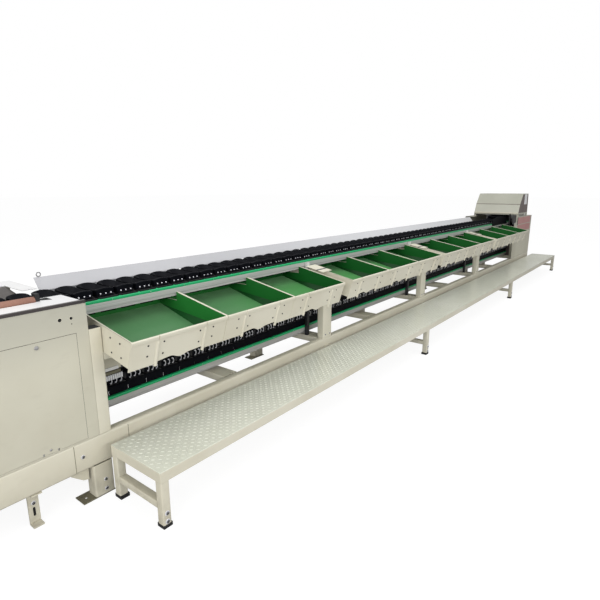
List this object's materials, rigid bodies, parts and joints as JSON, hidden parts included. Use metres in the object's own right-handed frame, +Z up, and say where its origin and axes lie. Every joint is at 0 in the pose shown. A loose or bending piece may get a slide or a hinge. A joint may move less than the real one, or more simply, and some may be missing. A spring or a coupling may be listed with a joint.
{
  "type": "fruit grading machine",
  "caption": "Long single-lane cup-conveyor fruit grader with sloped lined outlet trays, an infeed cabinet, a hooded head cabinet and a step platform along one side",
  "frame": {"origin": "middle of the footprint of machine and platform together, on the floor", "axes": "+X along the lane from the infeed to the head, +Y to the rear away from the trays, +Z up"},
  "size_m": [10.02, 1.312, 1.45],
  "materials": {
    "cream_paint": "satin powder coat",
    "steel": "zinc plated",
    "dark_steel": "blackened",
    "rail_aluminium": "extruded, matt anodised",
    "guide_green": "extruded polyethylene",
    "liner_green": "soft cushion sheet",
    "guard_paint": "grey powder coat",
    "machine_blue": "machine enamel",
    "deck_white": "white powder coat",
    "dark_trim": "dark grey paint",
    "roller_brown": "soft covered roller",
    "block_black": "black enamel",
    "strap_black": "flat rubber strap",
    "plate_red": "pale red paint, left plain",
    "cup_black": "moulded, slight sheen",
    "checker_plate": "painted checker plate",
    "pad_rubber": "moulded pad"
  },
  "bodies": {
    "frame": {"base_beams": "cream_paint", "cross_members": "cream_paint", "frame_posts": "cream_paint", "top_rails": "cream_paint", "foot_tubes": "cream_paint", "foot_plates": "steel", "levelling_feet": "cream_paint", "rail_uprights": "cream_paint", "track_rails": "rail_aluminium", "guide_strips": "guide_green", "tray_body_1": "cream_paint", "tray_body_2": "cream_paint", "tray_body_3": "cream_paint", "tray_body_4": "cream_paint", "tray_liner_1": "liner_green", "tray_liner_2": "liner_green", "tray_liner_3": "liner_green", "tray_liner_4": "liner_green", "guard_plate": "guard_paint", "guard_eye": "steel", "solenoids": "machine_blue", "weigh_bridge": "steel", "infeed_shell": "cream_paint", "infeed_deck": "deck_white", "deck_trim": "dark_trim", "infeed_chute": "dark_trim", "roller_blocks": "block_black", "head_shell": "cream_paint", "hinge_pins": "steel", "head_straps": "strap_black", "head_plates": "plate_red", "bearing_stands": "cream_paint", "bearings": "block_black", "gearmotor": "machine_blue", "platform_frame": "cream_paint", "platform_deck": "checker_plate", "platform_legs": "cream_paint", "platform_pads": "pad_rubber", "frame_bolts": "steel"},
    "upper_strand": {"upper_links": "dark_steel", "upper_cups": "cup_black"},
    "lower_strand": {"lower_links": "dark_steel", "lower_cups": "cup_black"},
    "head_turn": {"head_shaft": "steel", "head_sprocket": "steel", "head_links": "dark_steel", "head_turn_cups": "cup_black"},
    "tail_turn": {"tail_shaft": "steel", "tail_sprocket": "steel", "tail_links": "dark_steel", "tail_turn_cups": "cup_black"},
    "tip_1": {"tip_cup_1": "cup_black"},
    "tip_2": {"tip_cup_2": "cup_black"},
    "tip_3": {"tip_cup_3": "cup_black"},
    "kick_1": {"kicker_1": "steel"},
    "kick_2": {"kicker_2": "steel"},
    "kick_3": {"kicker_3": "steel"},
    "door": {"access_door": "cream_paint"},
    "hood_cover": {"hood": "cream_paint"},
    "roller": {"singulator_roller": "roller_brown"}
  },
  "joints": [
    {"name": "strand_feed", "type": "slide", "parent": "frame", "child": "upper_strand", "axis": [1, 0, 0], "range_m": [0, 0.12]},
    {"name": "return_feed", "type": "slide", "parent": "frame", "child": "lower_strand", "axis": [-1, 0, 0], "range_m": [0, 0.12]},
    {"name": "head_spin", "type": "hinge", "parent": "frame", "child": "head_turn", "pos_m": [4.09, 0.156, 0.725], "axis": [0, 1, 0], "range_deg": [0, 30]},
    {"name": "tail_spin", "type": "hinge", "parent": "frame", "child": "tail_turn", "pos_m": [-4.67, 0.156, 0.725], "axis": [0, 1, 0], "range_deg": [0, 30]},
    {"name": "cup_tip_1", "type": "hinge", "parent": "upper_strand", "child": "tip_1", "pos_m": [-3.65, 0.038, 0.98414], "axis": [1, 0, 0], "range_deg": [0, 55]},
    {"name": "cup_tip_2", "type": "hinge", "parent": "upper_strand", "child": "tip_2", "pos_m": [-3.05, 0.038, 0.98414], "axis": [1, 0, 0], "range_deg": [0, 55]},
    {"name": "cup_tip_3", "type": "hinge", "parent": "upper_strand", "child": "tip_3", "pos_m": [-2.45, 0.038, 0.98414], "axis": [1, 0, 0], "range_deg": [0, 55]},
    {"name": "kick_lift_1", "type": "slide", "parent": "frame", "child": "kick_1", "axis": [0, 0, 1], "range_m": [0, 0.014]},
    {"name": "kick_lift_2", "type": "slide", "parent": "frame", "child": "kick_2", "axis": [0, 0, 1], "range_m": [0, 0.014]},
    {"name": "kick_lift_3", "type": "slide", "parent": "frame", "child": "kick_3", "axis": [0, 0, 1], "range_m": [0, 0.014]},
    {"name": "door_tilt", "type": "hinge", "parent": "frame", "child": "door", "pos_m": [-4.51, -0.188, 0.352], "axis": [1, 0, 0], "range_deg": [0, 70]},
    {"name": "hood_lift", "type": "hinge", "parent": "frame", "child": "hood_cover", "pos_m": [4.517, 0.184, 1.117], "axis": [0, 1, 0], "range_deg": [0, 60]},
    {"name": "roller_spin", "type": "hinge", "parent": "frame", "child": "roller", "pos_m": [-4.534, -0.006, 1.03], "axis": [1, 0, 0], "continuous": true}
  ],
  "couplings": [
    {"joint": "return_feed", "follows": "strand_feed", "ratio": 1},
    {"joint": "head_spin", "follows": "strand_feed", "rad_per_m": 4.3633},
    {"joint": "tail_spin", "follows": "strand_feed", "rad_per_m": 4.3633}
  ]
}
